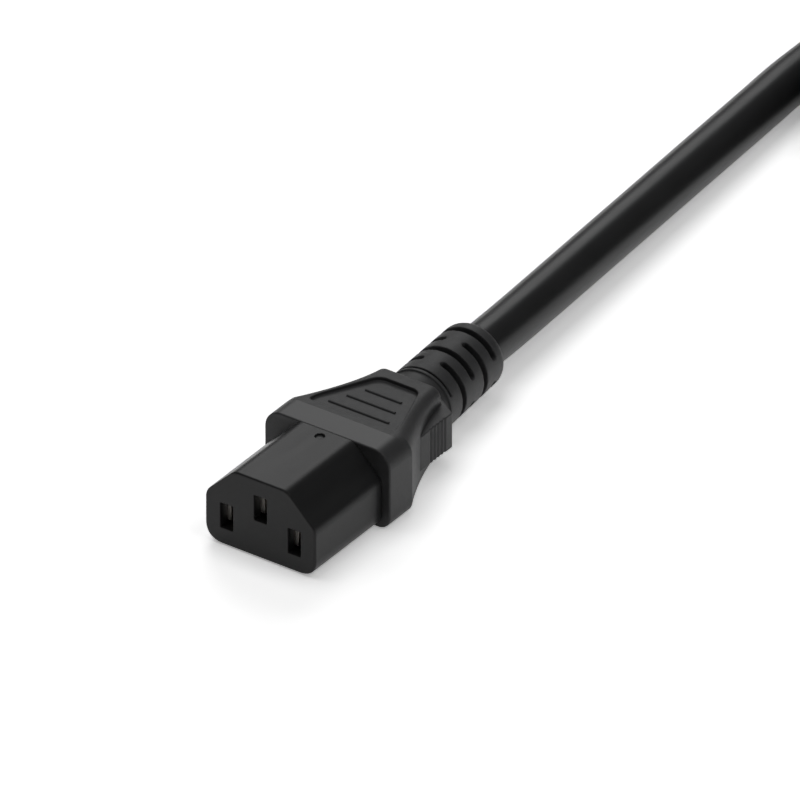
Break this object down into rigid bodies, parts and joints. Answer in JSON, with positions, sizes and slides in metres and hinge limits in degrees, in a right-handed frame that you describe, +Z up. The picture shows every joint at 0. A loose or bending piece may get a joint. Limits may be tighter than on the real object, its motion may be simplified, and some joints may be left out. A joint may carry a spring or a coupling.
{
  "type": "c13 power connector",
  "caption": "Moulded appliance connector with slotted strain relief and finger grips, on a round black cord that ends in a tied coil and an inlet-style plug.",
  "frame": {"origin": "under the middle of the connector's length and width, on the surface it rests on", "axes": "-Y is the way the nose enters an inlet, +Y the way the cord leaves, +Z up with the earth slot uppermost, X across the slots"},
  "size_m": [0.0888, 0.2989, 0.0381],
  "materials": {
    "insert_plastic": "black moulded nylon, fine satin skin",
    "core_mould_plastic": "grey moulded filler, hidden",
    "grip_plastic": "soft black PVC with a fine matt spark texture",
    "contact_brass": "bare folded strip",
    "copper": "stranded bright copper, drawn as one round wire",
    "brown_insulation": "smooth core insulation",
    "blue_insulation": "smooth core insulation",
    "green_insulation": "smooth core insulation",
    "sheath": "black PVC sheath with a soft satin shine",
    "tie_plastic": "soft moulded strap",
    "pin_metal": "nickel-plated brass"
  },
  "bodies": {
    "root": {"nose_insert": "insert_plastic", "contact_retainer": "insert_plastic", "inner_mould": "core_mould_plastic", "connector_overmould": "grip_plastic", "line_contact": "contact_brass", "neutral_contact": "contact_brass", "earth_contact": "contact_brass", "line_wire": "copper", "neutral_wire": "copper", "earth_wire": "copper", "line_core": "brown_insulation", "neutral_core": "blue_insulation", "earth_core": "green_insulation", "connector_sheath_end": "sheath", "cable_run": "sheath", "cable_coil": "sheath", "cable_tail": "sheath", "coil_tie": "tie_plastic", "plug_shroud": "insert_plastic", "plug_inner_mould": "core_mould_plastic", "plug_overmould": "grip_plastic", "plug_line_pin": "pin_metal", "plug_neutral_pin": "pin_metal", "plug_earth_pin": "pin_metal", "plug_line_wire": "copper", "plug_neutral_wire": "copper", "plug_earth_wire": "copper", "plug_line_core": "brown_insulation", "plug_neutral_core": "blue_insulation", "plug_earth_core": "green_insulation", "plug_sheath_end": "sheath"}
  },
  "joints": []
}
